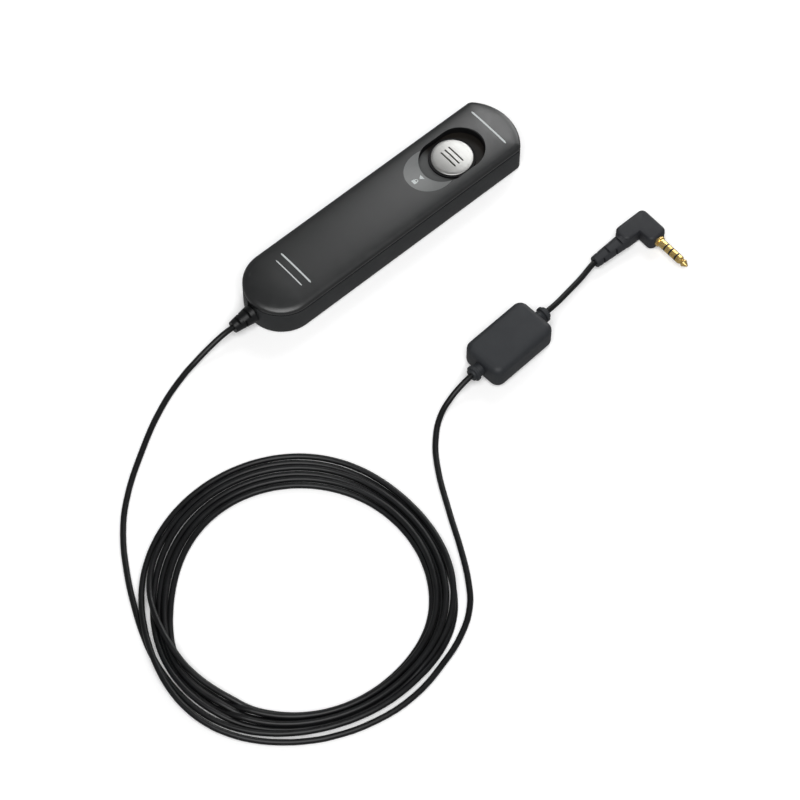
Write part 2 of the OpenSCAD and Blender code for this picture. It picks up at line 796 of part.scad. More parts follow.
top_shell();
bottom_shell();
guide_plate();
guide_screws();
housing_screws();
button_cap();
button_plunger();
plunger_foot();
return_spring();
lock_slider();
upper_leaf();
middle_leaf();
leaf_terminals();
lower_contact();
contact_block();
circuit_board();
resistors();
solder_joints();
wire_red();
wire_white();
wire_yellow();
wire_ground();
cord_clamp();
clamp_screws();
strain_relief();
cord_stub();
cord_lead();
cord_coil();
cord_tail();
cord_plug_lead();
cord_in_ferrite();
ferrite_core();
ferrite_cover();
plug_overmould();
plug_inner_block();
plug_insulator();
plug_sleeve();
plug_ring_rear();
plug_ring_front();
plug_tip();
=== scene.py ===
# Wired remote shutter release: a slim black handle with a silver button, and a thin cord that
# is wound in a loose flat coil and runs through a moulded ferrite block to a right-angle plug.
# Everything is in metres, in the frame of the CAD model.
import math

import bmesh
import bpy
from mathutils import Matrix, Vector


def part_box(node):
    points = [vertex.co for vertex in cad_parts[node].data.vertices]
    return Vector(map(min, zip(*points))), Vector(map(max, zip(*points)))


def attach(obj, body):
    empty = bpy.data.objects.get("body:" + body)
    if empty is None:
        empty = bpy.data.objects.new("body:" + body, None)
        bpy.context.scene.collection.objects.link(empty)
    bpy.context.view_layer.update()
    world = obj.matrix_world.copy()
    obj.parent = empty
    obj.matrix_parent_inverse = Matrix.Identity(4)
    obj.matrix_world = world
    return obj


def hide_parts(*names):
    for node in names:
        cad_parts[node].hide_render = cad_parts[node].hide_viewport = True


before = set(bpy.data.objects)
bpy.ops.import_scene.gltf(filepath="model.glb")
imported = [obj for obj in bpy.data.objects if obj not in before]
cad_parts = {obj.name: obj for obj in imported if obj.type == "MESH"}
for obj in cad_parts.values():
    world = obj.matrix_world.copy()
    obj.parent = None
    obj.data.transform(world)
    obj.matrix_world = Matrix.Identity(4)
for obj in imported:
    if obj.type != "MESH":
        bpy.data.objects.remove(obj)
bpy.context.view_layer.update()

MM = 0.001
SCENE = bpy.context.scene

# ---------- sizes taken from the frame ----------

base_low, base_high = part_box("bottom_shell")
top_low, top_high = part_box("top_shell")
cap_low, cap_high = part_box("button_cap")
ring_low, ring_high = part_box("button_plunger")
stub_low, stub_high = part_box("cord_stub")
boot_low, boot_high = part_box("strain_relief")
coil_low, coil_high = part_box("cord_coil")
core_low, core_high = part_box("ferrite_core")
block_low, block_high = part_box("plug_inner_block")
sleeve_low, sleeve_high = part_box("plug_sleeve")
ferrite_low, ferrite_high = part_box("ferrite_cover")
plug_low, plug_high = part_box("plug_overmould")

HALF_L = base_high.x
HALF_W = base_high.y
HANDLE_H = top_high.z
CAP_X = (cap_low.x + cap_high.x) / 2
RING_R = (ring_high.y - ring_low.y) / 2
CORD_D = stub_high.y - stub_low.y
CORD_R = CORD_D / 2
EXIT = Vector((boot_low.x, 0, (stub_low.z + stub_high.z) / 2))
COIL_CENTRE = (coil_low + coil_high) / 2
FERRITE_CENTRE = (ferrite_low + ferrite_high) / 2
PLUG_Z = (block_low.z + block_high.z) / 2
HEAD_X = (sleeve_low.x + sleeve_high.x) / 2

# ---------- handle sizes that the frame's boxes don't give ----------

SEAM_Z = 8.8 * MM
WALL = 1.3 * MM
FLOOR_Z = 1.2 * MM
NOSE_RISE = 4.75 * MM
NOSE_R = (HALF_W**2 + NOSE_RISE**2) / (2 * NOSE_RISE)
NOSE_X = HALF_L - NOSE_R
TAIL_X = -HALF_L + HALF_W
SEAM_GAP = 0.6 * MM
SEAM_DEPTH = 0.6 * MM
# height above the seam and inset of each level of the crown
CROWN = [
    (0.45, 0), (1.1, 0.05), (1.6, 0.4), (1.95, 1.2), (2.13, 2.1), (2.26, 3.1), (2.37, 4.3), (2.46, 5.6),
    (2.53, 7), (2.575, 8.4), (2.595, 9.8), (2.6, 10.95),
]
LOCK_TRAVEL = 3.5 * MM
OPENING_R = 7.35 * MM
OPENING_LEFT = CAP_X - LOCK_TRAVEL - RING_R - 0.2 * MM + OPENING_R
OPENING_RIGHT = CAP_X + 2.9 * MM
SCOOP_X = OPENING_LEFT - 5.2 * MM
SCOOP_EDGE = 8.1 * MM
SCOOP_DEPTH = 1.1 * MM
SCOOP_R = (SCOOP_EDGE**2 + SCOOP_DEPTH**2) / (2 * SCOOP_DEPTH)
SCOOP_Z = HANDLE_H - SCOOP_DEPTH + SCOOP_R
# hollow under the plain part of the handle
GRIP_CEILING = 9.7 * MM
GRIP_END = 3 * MM
# screws in the plan, in mm: of the guide plate, and of the housing along the middle line
GUIDE_SPOTS = [(10, 6.5), (10, -6.5), (43.8, 4.5), (43.8, -4.5)]
SCREW_SPOTS = [-30, -14]
# engraved lines of the cap
LINE_HALF_L = 3.2 * MM
LINE_HALF_W = 0.25 * MM
LINE_PITCH = 1.5 * MM
LINE_DEPTH = 0.35 * MM

# ---------- camera ----------

CAMERA_TARGET = Vector((-0.0342, -0.0469, 0))
CAMERA_DISTANCE = 0.8997
CAMERA_AZIMUTH = math.radians(-41.37)
CAMERA_ELEVATION = math.radians(59.43)


def make_camera():
    """Camera at the viewing angle, looking down on the object from the cord's side."""
    data = bpy.data.cameras.new("camera")
    data.lens = 145.1
    data.sensor_width = 36
    camera = bpy.data.objects.new("camera", data)
    SCENE.collection.objects.link(camera)
    back = Vector((
        math.sin(CAMERA_AZIMUTH) * math.cos(CAMERA_ELEVATION),
        -math.cos(CAMERA_AZIMUTH) * math.cos(CAMERA_ELEVATION),
        math.sin(CAMERA_ELEVATION),
    ))
    camera.location = CAMERA_TARGET + CAMERA_DISTANCE * back
    camera.rotation_euler = (-back).to_track_quat("-Z", "Y").to_euler()
    SCENE.camera = camera


make_camera()

# ---------- cord ----------

# Height of the cord's axis where it lies on the floor
LAY_Z = CORD_R
# Route from the handle to the coil, and from the coil through the ferrite block to the plug
LEAD_ROUTE = [
    (-0.0555, 0, 0.0044), (-0.059, 0, 0.0043), (-0.064, 0, 0.003), (-0.069, -0.0002, 0.00145),
    (-0.075, -0.0013, LAY_Z), (-0.086, -0.0053, LAY_Z), (-0.099, -0.0126, LAY_Z),
    (-0.112, -0.0219, LAY_Z), (-0.119, -0.0292, LAY_Z), (-0.1255, -0.0388, LAY_Z),
    (-0.1308, -0.0488, LAY_Z),
]
TAIL_ROUTE = [
    (-0.08, -0.116, LAY_Z), (-0.07, -0.1126, LAY_Z), (-0.063, -0.108, LAY_Z),
    (-0.0585, -0.1025, LAY_Z), (-0.0535, -0.094, LAY_Z), (-0.048, -0.083, LAY_Z),
    (-0.0405, -0.0695, LAY_Z), (-0.0355, -0.0633, LAY_Z), (-0.0295, -0.0586, 0.001),
    (-0.024, -0.0567, 0.002), (-0.0195, -0.0562, 0.0035), (-0.0158, -0.056, 0.0042),
]
PLUG_ROUTE = [
    (0.0142, -0.0544, 0.0042), (0.018, -0.0541, 0.0039), (0.024, -0.053, 0.0031),
    (0.030, -0.0519, 0.0026), (0.0365, -0.0506, 0.0028), (0.044, -0.0506, 0.0028),
]

TURNS = 6
STATIONS = 40
COIL_START = 156.0
COIL_END = 242.0 + 360 * TURNS
# The band of turns: angle in degrees, then the radius of its inner and its outer strand in mm
BAND = [
    (10, 34.8, 41.2), (30, 34.4, 42.5), (50, 34.2, 43.2), (90, 34.0, 42.4), (130, 33.2, 41.8),
    (150, 33.9, 41.5), (160, 34.8, 41.4), (170, 36.6, 41.5), (180, 35.9, 41.8), (190, 35.0, 42.3),
    (205, 35.1, 42.3), (230, 35.1, 40.5), (250, 35.0, 39.8), (270, 35.0, 40.2), (290, 35.6, 41.2),
    (305, 36.7, 43.3), (320, 36.4, 43.2), (335, 35.9, 42.3), (350, 35.3, 41.4),
]
# Where each turn lies in the band, from 0 inside to 1 outside: at the bottom, right and top
PLACES = [
    (1, 0.8, 0.8), (0, 0, 0), (0.17, 0.2, 0.2), (0.36, 0.4, 0.4), (0.54, 0.6, 0.6), (0.74, 1, 1),
]
# Where the turns change places, in degrees: on the left, on the right and over the top
LEFT = (134, 176)
RIGHT = (290, 350)
TOP = (350, 410)
# Humps of the strands that cross over others: unrolled middle and half width in degrees, height in mm
HUMPS = [
    (520, 34, 2.0), (2321, 22, 2.0), (1032, 100, 1.4), (1752, 100, 1.4), (2155, 55, 1.0),
]


def ease(t):
    """Smooth step from 0 to 1."""
    t = min(1.0, max(0.0, t))
    return t * t * (3 - 2 * t)


def band_at(angle):
    """Inner and outer radius of the band at an angle, smoothly between its rows."""
    first = BAND[0][0]
    angle = (angle - first) % 360 + first
    rows = [(BAND[-1][0] - 360, *BAND[-1][1:])] + BAND
    rows += [(row[0] + 360, *row[1:]) for row in BAND[:2]]
    i = max(k for k in range(1, len(rows) - 2) if rows[k][0] <= angle)
    span = rows[i + 1][0] - rows[i][0]
    t = (angle - rows[i][0]) / span
    radii = []
    for side in (1, 2):
        before, here, ahead, beyond = (rows[i + k] for k in (-1, 0, 1, 2))
        slope_0 = (ahead[side] - before[side]) / (ahead[0] - before[0]) * span
        slope_1 = (beyond[side] - here[side]) / (beyond[0] - here[0]) * span
        radii.append(
            (2 * t**3 - 3 * t**2 + 1) * here[side] + (t**3 - 2 * t**2 + t) * slope_0
            + (3 * t**2 - 2 * t**3) * ahead[side] + (t**3 - t**2) * slope_1
        )
    return radii


def coil_radius(unrolled):
    """Radius of the cord at an unrolled angle, in mm."""
    turn = int((unrolled - COIL_START) // 360)
    angle = unrolled - 360 * turn
    inner, outer = band_at(unrolled)
    if turn == TURNS:
        # the last pass leaves the ring of turns on its outside
        return outer + 2 * ease((angle - 150) / 40) + 0.5 * ease((angle - 225) / 20)
    bottom, right, top = PLACES[turn]
    place = bottom
    if turn > 0 and angle < LEFT[1]:
        before = PLACES[turn - 1][2]
        place = before + (bottom - before) * ease((angle - LEFT[0]) / (LEFT[1] - LEFT[0]))
    place += (right - bottom) * ease((angle - RIGHT[0]) / (RIGHT[1] - RIGHT[0]))
    place += (top - right) * ease((angle - TOP[0]) / (TOP[1] - TOP[0]))
    if turn < TURNS - 1:
        crossing = ease((angle - 360 - LEFT[0]) / (LEFT[1] - LEFT[0]))
        place += (PLACES[turn + 1][0] - top) * crossing
    radius = inner + place * (outer - inner)
    if turn == 0:
        # the lead comes in from outside
        radius += 1 - ease((angle - 150) / 30)
    return radius


def settle(radii, heights, per_turn):
    """Lets the strands sink until they rest on the floor and on each other. All in mm."""
    diameter = CORD_D / MM
    gap = 1.02 * diameter
    passes, softness, sink = 400, 0.25, 0.01
    count = len(radii)
    for _ in range(passes):
        smoothed = list(heights)
        for i in range(1, count - 1):
            smoothed[i] += softness * (heights[i - 1] - 2 * heights[i] + heights[i + 1])
        heights = [h - sink for h in smoothed]
        for turns_apart in range(1, TURNS + 1):
            step = per_turn * turns_apart
            for low in range(count - step):
                high = low + step
                beside = abs(radii[low] - radii[high])
                if beside >= gap:
                    continue
                above = heights[high] - heights[low]
                short = math.sqrt(gap * gap - beside * beside) - abs(above)
                if short > 0:
                    push = math.copysign(short / 2, above)
                    heights[high] += push
                    heights[low] -= push
        heights = [max(h, diameter / 2) for h in heights]
    return heights


def coil_points():
    """Points along the coil, from the lead's end to the tail's start."""
    count = round((COIL_END - COIL_START) / 360 * STATIONS) + 1
    angles = [COIL_START + (COIL_END - COIL_START) * i / (count - 1) for i in range(count)]
    radii = [coil_radius(a) for a in angles]
    for _ in range(2):
        inside = [(radii[i - 1] + 2 * radii[i] + radii[i + 1]) / 4 for i in range(1, count - 1)]
        radii = [radii[0]] + inside + [radii[-1]]
    heights = []
    for angle in angles:
        lifts = [h * max(0, 1 - ((angle - middle) / half) ** 2) for middle, half, h in HUMPS]
        heights.append(CORD_R / MM + max(lifts))
    heights = settle(radii, heights, STATIONS)
    centre = Vector((COIL_CENTRE.x, COIL_CENTRE.y, 0))
    return [
        centre + Vector((r * math.cos(math.radians(a)), r * math.sin(math.radians(a)), h)) * MM
        for a, r, h in zip(angles, radii, heights)
    ]


def cord_line():
    """The cord's centreline from inside the handle to inside the plug."""
    start = Vector((stub_high.x, 0, EXIT.z))
    middle = (start + EXIT) / 2
    # the coil's last pass swings out to the tail beside the ring of turns
    leaving = [(-0.1043, -0.1167, LAY_Z), (-0.092, -0.118, LAY_Z)]
    points = [start, middle]
    points += [Vector(p) for p in LEAD_ROUTE]
    points += coil_points()
    points += [Vector(p) for p in leaving + TAIL_ROUTE]
    points += [Vector(p) for p in PLUG_ROUTE]
    return points


def make_cord():
    """Round cord along its centreline, and the length of that line."""
    data = bpy.data.curves.new("release_cord", "CURVE")
    data.dimensions = "3D"
    data.bevel_depth = CORD_R
    data.bevel_resolution = 4
    data.resolution_u = 4
    data.use_fill_caps = True
    points = cord_line()
    spline = data.splines.new("BEZIER")
    spline.bezier_points.add(len(points) - 1)
    for knot, point in zip(spline.bezier_points, points):
        knot.co = point
        knot.handle_left_type = "AUTO"
        knot.handle_right_type = "AUTO"
    obj = bpy.data.objects.new("release_cord", data)
    SCENE.collection.objects.link(obj)
    length = sum((b - a).length for a, b in zip(points, points[1:]))
    return obj, length


cord, CORD_LENGTH = make_cord()

# ---------- mesh helpers ----------


def arc(centre_x, centre_y, radius, start, end, count):
    """Points on an arc between two angles in radians, without its last point."""
    angles = [start + (end - start) * i / count for i in range(count)]
    return [(centre_x + radius * math.cos(a), centre_y + radius * math.sin(a)) for a in angles]


def straight(start, end, count):
    """Points on a straight line, without its last point."""
    return [
        tuple(a + (b - a) * i / count for a, b in zip(start, end))
        for i in range(count)
    ]


def through(points, steps):
    """Points on a smooth line through the given ones."""
    last = len(points) - 1
    line = []
    for i in range(last):
        a, b = points[max(i - 1, 0)], points[i]
        c, d = points[i + 1], points[min(i + 2, last)]
        for k in range(steps):
            t = k / steps
            line.append(tuple(
                0.5 * (2 * q + (r - p) * t + (2 * p - 5 * q + 4 * r - s) * t**2
                       + (3 * q - p - 3 * r + s) * t**3)
                for p, q, r, s in zip(a, b, c, d)
            ))
    return line + [tuple(points[-1])]


def add_object(name, mesh):
    """Puts a mesh into the scene as an object."""
    obj = bpy.data.objects.new(name, mesh)
    SCENE.collection.objects.link(obj)
    return obj


def solid(name, rings):
    """Closed solid through rings that all have the same number of points."""
    count = len(rings[0])
    faces = []
    for k in range(len(rings) - 1):
        for i in range(count):
            j = (i + 1) % count
            faces.append((k * count + i, k * count + j, (k + 1) * count + j, (k + 1) * count + i))
    last = (len(rings) - 1) * count
    faces.append(tuple(reversed(range(count))))
    faces.append(tuple(last + i for i in range(count)))
    mesh = bpy.data.meshes.new(name)
    mesh.from_pydata([tuple(p) for ring in rings for p in ring], [], faces)
    shape = bmesh.new()
    shape.from_mesh(mesh)
    bmesh.ops.recalc_face_normals(shape, faces=shape.faces)
    shape.to_mesh(mesh)
    shape.free()
    return add_object(name, mesh)


def prism(name, outline, low_z, high_z):
    """Upright solid over an outline of (x, y) points."""
    return solid(name, [[(x, y, z) for x, y in outline] for z in (low_z, high_z)])


def turned(name, profile, centre, axis, sides=64):
    """Solid turned round an axis. The profile holds (distance along the axis, radius)."""
    axis = Vector(axis).normalized()
    side = axis.orthogonal().normalized()
    up = axis.cross(side)
    rings = []
    for distance, radius in profile:
        middle = Vector(centre) + distance * axis
        rings.append([
            middle + radius * (math.cos(a) * side + math.sin(a) * up)
            for a in (2 * math.pi * i / sides for i in range(sides))
        ])
    return solid(name, rings)


def upright(name, x, y, profile, sides=32):
    """Solid turned round an upright axis at (x, y). The profile holds (height, radius), all in mm."""
    return turned(name, [(z * MM, r * MM) for z, r in profile], (x * MM, y * MM, 0), (0, 0, 1), sides)


def rounded_block(name, centre, size, corner, edge):
    """Block with upright corners of one radius and smaller rounds along its top and bottom."""
    half_x, half_y, half_z = (side / 2 for side in size)
    steps = 6
    levels = []
    for i in range(steps + 1):
        a = math.pi / 2 * i / steps
        levels.append((half_z - edge * (1 - math.sin(a)), edge * (1 - math.cos(a))))
    levels = [(-z, inset) for z, inset in levels[::-1]] + levels
    rings = []
    for z, inset in levels:
        radius = corner - inset
        outline = []
        for k in range(4):
            turn = k * math.pi / 2
            sign_x = 1 if k in (0, 3) else -1
            sign_y = 1 if k in (0, 1) else -1
            outline += arc(sign_x * (half_x - corner), sign_y * (half_y - corner), radius, turn,
                           turn + math.pi / 2, 12)
            outline.append((
                sign_x * (half_x - corner) + radius * math.cos(turn + math.pi / 2),
                sign_y * (half_y - corner) + radius * math.sin(turn + math.pi / 2),
            ))
        rings.append([Vector((x, y, z)) + Vector(centre) for x, y in outline])
    return solid(name, rings)


def combine(obj, other, operation):
    """Cuts the other solid from obj, joins it or keeps what they share; the other one is used up."""
    modifier = obj.modifiers.new("combine", "BOOLEAN")
    modifier.operation = operation
    modifier.solver = "EXACT"
    modifier.object = other
    bpy.context.view_layer.update()
    made = bpy.data.meshes.new_from_object(
        obj.evaluated_get(bpy.context.evaluated_depsgraph_get())
    )
    obj.modifiers.clear()
    made.name = obj.name
    obj.data = made
    bpy.data.objects.remove(other)
    return obj


def cut(obj, *others):
    """Cuts every other solid from obj."""
    for other in others:
        combine(obj, other, "DIFFERENCE")
    return obj


def join(obj, *others):
    """Joins every other solid to obj."""
    for other in others:
        combine(obj, other, "UNION")
    return obj


def smooth_shade(obj, degrees=32):
    """Smooth shading with edges sharper than the angle left crisp."""
    obj.data.shade_smooth()
    obj.data.set_sharp_from_angle(angle=math.radians(degrees))


# ---------- handle ----------


def plan(inset):
    """Outline of the handle, drawn in by the inset: round tail, straight sides, arched nose."""
    half = HALF_W - inset
    nose = NOSE_R - inset
    corner = min(2.2 * MM, half / 2)
    corner_x = NOSE_X + math.sqrt((nose - corner) ** 2 - (half - corner) ** 2)
    split = math.atan2(half - corner, corner_x - NOSE_X)
    quarter = math.pi / 2
    outline = arc(TAIL_X, 0, half, quarter, 3 * quarter, 56)
    outline += straight((TAIL_X, -half), (corner_x, -half), 36)
    outline += arc(corner_x, corner - half, corner, -quarter, -split, 8)
    outline += arc(NOSE_X, 0, nose, -split, split, 40)
    outline += arc(corner_x, half - corner, corner, split, quarter, 8)
    outline += straight((corner_x, half), (TAIL_X, half), 36)
    return outline


def stack(name, levels):
    """Solid through slices of the plan, each given as (height, inset)."""
    return solid(name, [[(x, y, z) for x, y in plan(inset)] for z, inset in levels])


def stadium(x0, x1, radius):
    """Outline with two straight sides and round ends about (x0, 0) and (x1, 0)."""
    quarter = math.pi / 2
    outline = arc(x0, 0, radius, quarter, 3 * quarter, 40)
    outline += straight((x0, -radius), (x1, -radius), 4)
    outline += arc(x1, 0, radius, -quarter, quarter, 40)
    outline += straight((x1, radius), (x0, radius), 4)
    return outline


def crown_line():
    """Smooth profile of the crown as (height above the seam, inset), in metres."""
    return [(z * MM, inset * MM) for z, inset in through(CROWN, 5)]


def crown_z(x, y):
    """Height of the crown above a point of the plan."""
    inset = HALF_W - abs(y)
    if x < TAIL_X:
        inset = HALF_W - math.hypot(x - TAIL_X, y)
    if x > NOSE_X:
        inset = min(inset, NOSE_R - math.hypot(x - NOSE_X, y))
    line = crown_line()
    for (z0, inset_0), (z1, inset_1) in zip(line, line[1:]):
        if inset_0 <= inset < inset_1:
            return SEAM_Z + z0 + (z1 - z0) * (inset - inset_0) / (inset_1 - inset_0)
    return HANDLE_H


def scoop_z(x, y):
    """Height of the thumb scoop's floor above a point of the plan."""
    return SCOOP_Z - math.sqrt(SCOOP_R**2 - (x - SCOOP_X) ** 2 - y**2)


def opening_cutter():
    """Stadium prism whose top flares, which leaves a rounded rim round the opening."""
    levels = [(-4, 0), (-0.5, 0), (-0.3, 0.03), (-0.12, 0.13), (0, 0.32), (1, 2)]
    return solid("opening", [
        [(x, y, HANDLE_H + z * MM) for x, y in stadium(OPENING_LEFT, OPENING_RIGHT, OPENING_R + r * MM)]
        for z, r in levels
    ])


def scoop_cutter():
    """Lower cap of the scoop's sphere, closed above the crown."""
    reach = math.asin(1.25 * SCOOP_EDGE / SCOOP_R)
    angles = [reach * (i + 0.2) / 20 for i in range(20)]
    profile = [(-SCOOP_R * math.cos(a), SCOOP_R * math.sin(a)) for a in angles]
    profile.append((profile[-1][0] + 2 * MM, profile[-1][1]))
    return turned("scoop", profile, (SCOOP_X, 0, SCOOP_Z), (0, 0, 1), sides=160)


def grip_outline(inset, end_x):
    """Plan of the hollow under the plain part of the handle."""
    half = HALF_W - inset
    quarter = math.pi / 2
    outline = arc(TAIL_X, 0, half, quarter, 3 * quarter, 40)
    return outline + [(TAIL_X, -half), (end_x, -half), (end_x, half)]


def boot_tab():
    """Tab of the top shell that closes the slot above the strain relief."""
    tab = prism("tab", plan(SEAM_DEPTH), EXIT.z, SEAM_Z + SEAM_GAP)
    cut(tab, prism("tab_inside", plan(WALL), 0, HANDLE_H))
    half = 1.95 * MM
    neck_r = 2.05 * MM
    side = [(-HALF_L, -half), (TAIL_X, -half), (TAIL_X, half), (-HALF_L, half)]
    combine(tab, prism("tab_side", side, 0, HANDLE_H), "INTERSECT")
    neck = turned("neck", [(0, neck_r), (HALF_W, neck_r)], (-HALF_L - MM, 0, EXIT.z), (1, 0, 0))
    return cut(tab, neck)


def make_top_shell():
    """Upper half of the handle: crowned top, thumb scoop, opening for the button, screw bosses."""
    edge = SEAM_Z + SEAM_GAP / 2
    levels = [(SEAM_Z, SEAM_DEPTH), (edge, SEAM_DEPTH), (edge, 0.12 * MM), (edge + 0.08 * MM, 0.03 * MM)]
    levels += [(SEAM_Z + z, inset) for z, inset in crown_line()]
    shell = stack("handle_top_shell", levels)
    grip_wall, lip_wall = WALL + 0.15 * MM, WALL + 0.85 * MM
    lip_low, lip_high = SEAM_Z - 1.2 * MM, GRIP_CEILING + 0.1 * MM
    cut(shell, prism("grip", grip_outline(grip_wall, GRIP_END), 0, GRIP_CEILING))
    lips = prism("lips", grip_outline(grip_wall, GRIP_END - MM), lip_low, lip_high)
    cut(lips, prism("lips_inside", grip_outline(lip_wall, GRIP_END + MM), 0, HANDLE_H))
    join(shell, lips, boot_tab())
    for x, y in GUIDE_SPOTS:
        join(shell, upright("boss", x, y, [(7.75, 1.5), (9.25, 1.5)]))
    for x in SCREW_SPOTS:
        join(shell, upright("boss", x, 0, [(6, 2.2), (9.8, 2.2)]))
        cut(shell, upright("hole", x, 0, [(5, 1), (10.2, 1)]))
    for x, y in GUIDE_SPOTS:
        cut(shell, upright("hole", x, y, [(7, 0.6), (9.9, 0.6)], 24))
    cut(shell, scoop_cutter(), opening_cutter())
    smooth_shade(shell)
    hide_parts("top_shell")
    return shell


def make_bottom_shell():
    """Lower half of the handle: hollow, with screw bosses, board posts and the cord's saddle."""
    base_r = 0.8 * MM
    steps = 6
    turns = [i * math.pi / 2 / steps for i in range(steps + 1)]
    levels = [(base_r * (1 - math.sin(a)), base_r * (1 - math.cos(a))) for a in reversed(turns)]
    edge = SEAM_Z - SEAM_GAP / 2
    levels += [(edge - 0.1 * MM, 0), (edge - 0.03 * MM, 0.03 * MM), (edge, 0.12 * MM)]
    levels += [(edge, SEAM_DEPTH), (SEAM_Z, SEAM_DEPTH)]
    shell = stack("handle_bottom_shell", levels)
    cut(shell, prism("inside", plan(WALL), FLOOR_Z, HANDLE_H))
    for x in SCREW_SPOTS:
        join(shell, upright("boss", x, 0, [(1, 2.8), (6, 2.8)]))
    for x, y in [(-6, 5.8), (-6, -5.8), (29.5, 5.8), (29.5, -5.8)]:
        join(shell, upright("post", x, y, [(1.1, 1.6), (1.6, 1.6), (1.6, 0.85), (2.9, 0.85)]))
    saddle = [(-43 * MM, -5 * MM), (-39 * MM, -5 * MM), (-39 * MM, 5 * MM), (-43 * MM, 5 * MM)]
    join(shell, prism("saddle", saddle, 1.1 * MM, EXIT.z))
    for x in SCREW_SPOTS:
        recess = [(-1, 2.05), (2.4, 2.05), (2.4, 1.15), (SEAM_Z / MM, 1.15)]
        cut(shell, upright("recess", x, 0, recess, 40))
    # slot that takes the neck of the strain relief
    neck = 2 * MM
    neck_x = -HALF_L + 2.3 * MM
    profile = arc(0, EXIT.z, neck, math.pi, 2 * math.pi, 24)
    profile += [(neck, EXIT.z), (neck, HANDLE_H), (-neck, HANDLE_H)]
    cut(shell, solid("slot", [[(x, y, z) for y, z in profile] for x in (-HALF_L - MM, neck_x)]))
    along = (1, 0, 0)
    cut(shell, turned("groove", [(0, CORD_R), (8 * MM, CORD_R)], (-45 * MM, 0, EXIT.z), along, 24))
    for y in (-3.3, 3.3):
        cut(shell, upright("hole", -41, y, [(2, 0.6), (7, 0.6)], 24))
    smooth_shade(shell)
    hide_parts("bottom_shell")
    return shell


# ---------- button cap ----------


def make_cap():
    """Silver cap with a slightly crowned top, a rounded edge and three engraved lines."""
    radius = cap_high.y
    crown = 0.28 * MM
    edge = 0.3 * MM
    dome = (radius**2 + crown**2) / (2 * crown)
    rim_z = cap_high.z - crown - edge
    profile = [(cap_low.z, radius), (rim_z, radius)]
    steps = 6
    for i in range(1, steps + 1):
        a = math.pi / 2 * i / steps
        profile.append((rim_z + edge * math.sin(a), radius - edge * (1 - math.cos(a))))
    rings = 16
    for i in range(1, rings):
        r = (radius - edge) * (1 - i / rings)
        profile.append((cap_high.z - dome + math.sqrt(dome**2 - r**2), r))
    cap = turned("silver_button_cap", profile, (CAP_X, 0, 0), (0, 0, 1), sides=128)
    straight_half = LINE_HALF_L - LINE_HALF_W
    for k in (-1, 0, 1):
        x = CAP_X + k * LINE_PITCH
        line = arc(x, straight_half, LINE_HALF_W, 0, math.pi, 8)
        line += arc(x, -straight_half, LINE_HALF_W, math.pi, 2 * math.pi, 8)
        cut(cap, prism("line", line, cap_high.z - LINE_DEPTH, cap_high.z + MM))
    smooth_shade(cap)
    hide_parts("button_cap")
    return cap


# ---------- printed marks ----------


def print_mark(name, path, widths, surface):
    """Thin printed mark along a path in the plan, which follows the surface under it."""
    rise, depth = 0.02 * MM, 0.05 * MM
    rings = []
    for i, (x, y) in enumerate(path):
        before, after = path[max(i - 1, 0)], path[min(i + 1, len(path) - 1)]
        heading = Vector((after[0] - before[0], after[1] - before[1])).normalized()
        side = Vector((-heading.y, heading.x)) * widths[i] / 2
        ring = []
        for sign, lift in ((1, rise), (-1, rise), (-1, -depth), (1, -depth)):
            px, py = x + sign * side.x, y + sign * side.y
            ring.append((px, py, surface(px, py) + lift))
        rings.append(ring)
    mark = solid(name, rings)
    return mark


def print_bar(name, x, half_length, width):
    """Plain bar across the handle with rounded ends."""
    steps = 24
    half = width / 2
    path, widths = [], []
    for i in range(steps + 1):
        y = -half_length + 2 * half_length * i / steps
        path.append((x, y))
        past = max(0.0, 1 - (half_length - abs(y)) / half)
        widths.append(width * max(0.3, math.sqrt(max(0.0, 1 - past**2))))
    return print_mark(name, path, widths, crown_z)


def make_marks():
    """Generic marks: plain bars, an arrow and a padlock sign beside the slide."""
    marks = [
        print_bar("print_bar_nose", x=41.3 * MM, half_length=7.4 * MM, width=0.55 * MM),
        print_bar("print_bar_tail_upper", x=-32 * MM, half_length=6.5 * MM, width=0.5 * MM),
        print_bar("print_bar_tail_lower", x=-34.6 * MM, half_length=5.6 * MM, width=0.35 * MM),
    ]
    tip, base = 14.6 * MM, 15.7 * MM
    steps = 6
    path = straight((tip, 0), (base, 0), steps) + [(base, 0)]
    widths = [0.12 * MM + 1.7 * MM * i / steps for i in range(steps + 1)]
    marks.append(print_mark("print_arrow", path, widths, scoop_z))
    lock_low, lock_high = 12 * MM, 13.05 * MM
    body = straight((lock_low, 0), (lock_high, 0), 4) + [(lock_high, 0)]
    marks.append(print_mark("print_lock_body", body, [1.5 * MM] * len(body), scoop_z))
    leg_x, bow_x, bow_r = 13 * MM, 13.35 * MM, 0.45 * MM
    shackle = [(leg_x, -bow_r)] + arc(bow_x, 0, bow_r, -math.pi / 2, math.pi / 2, 12)
    shackle += [(bow_x, bow_r), (leg_x, bow_r)]
    marks.append(print_mark("print_lock_shackle", shackle, [0.25 * MM] * len(shackle), scoop_z))
    return marks


# ---------- ferrite block ----------


